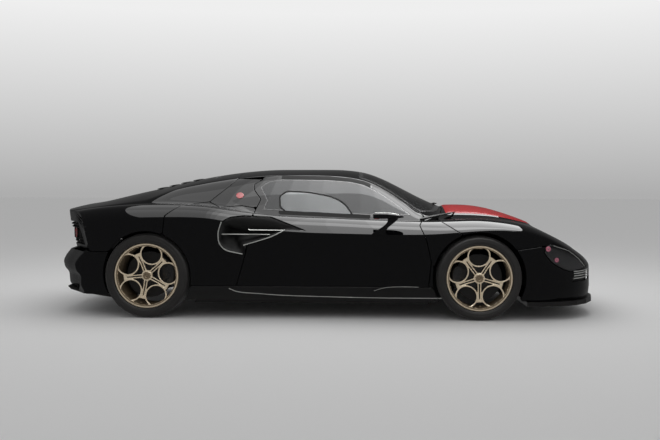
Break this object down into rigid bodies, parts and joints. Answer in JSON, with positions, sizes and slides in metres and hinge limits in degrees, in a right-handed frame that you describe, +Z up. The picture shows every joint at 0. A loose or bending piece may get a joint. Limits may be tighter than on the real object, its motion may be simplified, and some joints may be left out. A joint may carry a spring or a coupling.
{
  "type": "supercar",
  "caption": "Low mid-engined two-seat coupe with rising doors, front and rear clamshells, steered front wheels and rolling wheels.",
  "frame": {"origin": "on the ground under the middle of the car's length and width", "axes": "+X forward, +Y to the car's left, +Z up"},
  "size_m": [4.637, 2.17, 1.2278],
  "materials": {
    "body_paint": "deep gloss black clear-coated paint",
    "carbon": "satin dark carbon fibre",
    "tub_carbon": "matt carbon structure",
    "side_glass": "dark tinted glass",
    "screen_glass": "tinted laminated glass",
    "lamp_lens": "clear lens over dark lamp unit",
    "tail_lens": "red lamp lens",
    "mesh": "black mesh",
    "wheel_bronze": "champagne bronze metallic lacquer",
    "tyre_rubber": "black tyre rubber",
    "disc_iron": "machined brake disc",
    "caliper_paint": "dark lacquered caliper",
    "steel": "bare forged metal",
    "exhaust_metal": "heat-tinted metal",
    "trim_leather": "black leather",
    "seat_leather": "red and black leather",
    "engine_metal": "cast light alloy"
  },
  "bodies": {
    "body": {"tub": "tub_carbon", "floor_tray": "tub_carbon", "roof": "body_paint", "windscreen": "screen_glass", "front_fenders": "body_paint", "front_bumper": "body_paint", "front_grille": "mesh", "headlamps": "lamp_lens", "splitter": "carbon", "side_skirts": "carbon", "rear_quarters": "body_paint", "c_pillars": "body_paint", "rear_bumper": "body_paint", "diffuser": "carbon", "exhaust_tips": "exhaust_metal", "wheel_liners": "tub_carbon", "suspension_arms": "steel", "rear_carriers": "steel", "rear_calipers": "caliper_paint", "engine": "engine_metal", "seats": "seat_leather", "console": "trim_leather", "dashboard": "trim_leather"},
    "front_lid": {"front_lid": "body_paint"},
    "rear_lid": {"rear_lid": "body_paint", "engine_window": "side_glass", "rear_fascia": "mesh", "tail_lamps": "tail_lens"},
    "steering_wheel": {"steering_wheel": "trim_leather"},
    "door_left": {"door_left": "body_paint", "door_glass_left": "side_glass", "mirror_left": "body_paint"},
    "carrier_left": {"carrier_left": "steel", "caliper_left": "caliper_paint"},
    "wheel_front_left": {"tyre_front_left": "tyre_rubber", "rim_front_left": "wheel_bronze", "disc_front_left": "disc_iron"},
    "wheel_rear_left": {"tyre_rear_left": "tyre_rubber", "rim_rear_left": "wheel_bronze", "disc_rear_left": "disc_iron"},
    "door_right": {"door_right": "body_paint", "door_glass_right": "side_glass", "mirror_right": "body_paint"},
    "carrier_right": {"carrier_right": "steel", "caliper_right": "caliper_paint"},
    "wheel_front_right": {"tyre_front_right": "tyre_rubber", "rim_front_right": "wheel_bronze", "disc_front_right": "disc_iron"},
    "wheel_rear_right": {"tyre_rear_right": "tyre_rubber", "rim_rear_right": "wheel_bronze", "disc_rear_right": "disc_iron"}
  },
  "joints": [
    {"name": "door_right_swing", "type": "hinge", "parent": "body", "child": "door_right", "pos_m": [0.5, -0.548, 1.07], "axis": [-0.8907, 0.2969, 0.3444], "range_deg": [0, 72]},
    {"name": "door_left_swing", "type": "hinge", "parent": "body", "child": "door_left", "pos_m": [0.5, 0.548, 1.07], "axis": [0.8907, 0.2969, -0.3444], "range_deg": [0, 72]},
    {"name": "front_lid_lift", "type": "hinge", "parent": "body", "child": "front_lid", "pos_m": [0.955, 0, 0.9], "axis": [0, -1, 0], "range_deg": [0, 50]},
    {"name": "rear_lid_lift", "type": "hinge", "parent": "body", "child": "rear_lid", "pos_m": [-2.3185, 0, 0.543], "axis": [0, -1, 0], "range_deg": [0, 55]},
    {"name": "steer_right", "type": "hinge", "parent": "body", "child": "carrier_right", "pos_m": [1.2765, -0.77775, 0.34], "axis": [0, 0, 1], "range_deg": [-28, 28]},
    {"name": "steer_left", "type": "hinge", "parent": "body", "child": "carrier_left", "pos_m": [1.2765, 0.77775, 0.34], "axis": [0, 0, 1], "range_deg": [-28, 28]},
    {"name": "steering_turn", "type": "hinge", "parent": "body", "child": "steering_wheel", "pos_m": [0.33, 0.365, 0.69], "axis": [-0.9272, 0, 0.3746], "range_deg": [-370, 370]},
    {"name": "roll_front_left", "type": "hinge", "parent": "carrier_left", "child": "wheel_front_left", "pos_m": [1.2765, 0.83775, 0.34], "axis": [0, 1, 0], "continuous": true},
    {"name": "roll_rear_left", "type": "hinge", "parent": "body", "child": "wheel_rear_left", "pos_m": [-1.4235, 0.81875, 0.3455], "axis": [0, 1, 0], "continuous": true},
    {"name": "roll_front_right", "type": "hinge", "parent": "carrier_right", "child": "wheel_front_right", "pos_m": [1.2765, -0.83775, 0.34], "axis": [0, 1, 0], "continuous": true},
    {"name": "roll_rear_right", "type": "hinge", "parent": "body", "child": "wheel_rear_right", "pos_m": [-1.4235, -0.81875, 0.3455], "axis": [0, 1, 0], "continuous": true}
  ],
  "couplings": [
    {"joint": "steer_left", "follows": "steer_right", "ratio": 1},
    {"joint": "steering_turn", "follows": "steer_right", "ratio": 13}
  ]
}
